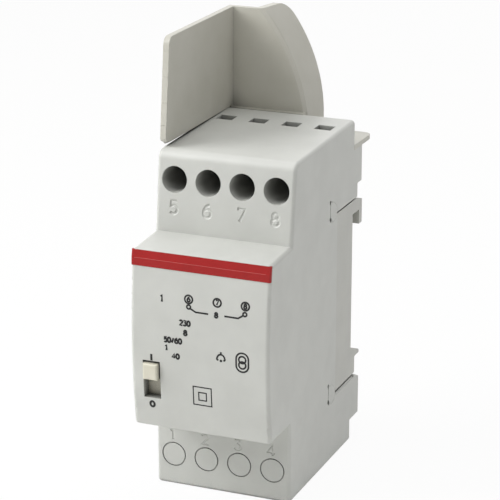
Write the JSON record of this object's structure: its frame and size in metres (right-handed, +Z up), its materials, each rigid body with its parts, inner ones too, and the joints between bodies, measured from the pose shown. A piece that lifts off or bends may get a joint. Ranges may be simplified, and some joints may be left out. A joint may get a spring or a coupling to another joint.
{
  "type": "doorbell transformer",
  "caption": "Rail-mounted doorbell transformer with screw terminals, a slide switch on its bowed panel, a rail clip and an upright insulating barrier.",
  "frame": {"origin": "centre of the face that lies against the mounting rail, level with the middle of the front panel", "axes": "+X to the right seen from the front, +Y back towards the rail, +Z up"},
  "size_m": [0.036, 0.0722, 0.1134],
  "materials": {
    "barrier_plastic": "smooth matt light grey plastic",
    "bobbin_plastic": "natural polyamide",
    "button_plastic": "smooth cream plastic",
    "cage_steel": "zinc-plated",
    "carrier_plastic": "dark moulded insulator",
    "clip_plastic": "matt light grey plastic",
    "contact_brass": "brass, plain",
    "contact_copper": "copper, plain",
    "core_steel": "laminated silicon steel",
    "cover_plastic": "fine matt light grey polycarbonate",
    "fuse_case": "plain metal case",
    "housing_plastic": "fine matt light grey polycarbonate",
    "lead_black": "PVC insulated wire",
    "lead_blue": "PVC insulated wire",
    "lead_brown": "PVC insulated wire",
    "lead_white": "PVC insulated wire",
    "plate_brass": "tinned brass",
    "screw_steel": "zinc-plated",
    "strip_red": "glossy deep red",
    "winding_copper": "enamelled copper wire",
    "winding_tape": "yellow polyester tape"
  },
  "bodies": {
    "body": {"barrier": "barrier_plastic", "bobbin": "bobbin_plastic", "core_e_stack": "core_steel", "core_i_stack": "core_steel", "housing": "housing_plastic", "lead_live_in": "lead_black", "lead_neutral": "lead_blue", "lead_output_6": "lead_white", "lead_output_8": "lead_white", "lead_switched": "lead_brown", "marker_strip": "strip_red", "primary_tape": "winding_tape", "primary_winding": "winding_copper", "rear_cover": "cover_plastic", "secondary_tape": "winding_tape", "secondary_winding": "winding_copper", "switch_carrier": "carrier_plastic", "switch_contact_live": "contact_brass", "switch_contact_load": "contact_brass", "terminal_cage_1": "cage_steel", "terminal_cage_2": "cage_steel", "terminal_cage_3": "cage_steel", "terminal_cage_4": "cage_steel", "terminal_cage_5": "cage_steel", "terminal_cage_6": "cage_steel", "terminal_cage_7": "cage_steel", "terminal_cage_8": "cage_steel", "terminal_plate_1": "plate_brass", "terminal_plate_2": "plate_brass", "terminal_plate_3": "plate_brass", "terminal_plate_4": "plate_brass", "terminal_plate_5": "plate_brass", "terminal_plate_6": "plate_brass", "terminal_plate_7": "plate_brass", "terminal_plate_8": "plate_brass", "terminal_screws": "screw_steel", "thermal_fuse": "fuse_case"},
    "switch": {"switch_slider": "button_plastic", "switch_bridge": "contact_copper"},
    "clip": {"rail_clip": "clip_plastic"}
  },
  "joints": [
    {"name": "switch_slide", "type": "slide", "parent": "body", "child": "switch", "axis": [0, 0, -1], "range_m": [0, 0.0046]},
    {"name": "clip_slide", "type": "slide", "parent": "body", "child": "clip", "axis": [0, 0, -1], "range_m": [0, 0.003]}
  ]
}
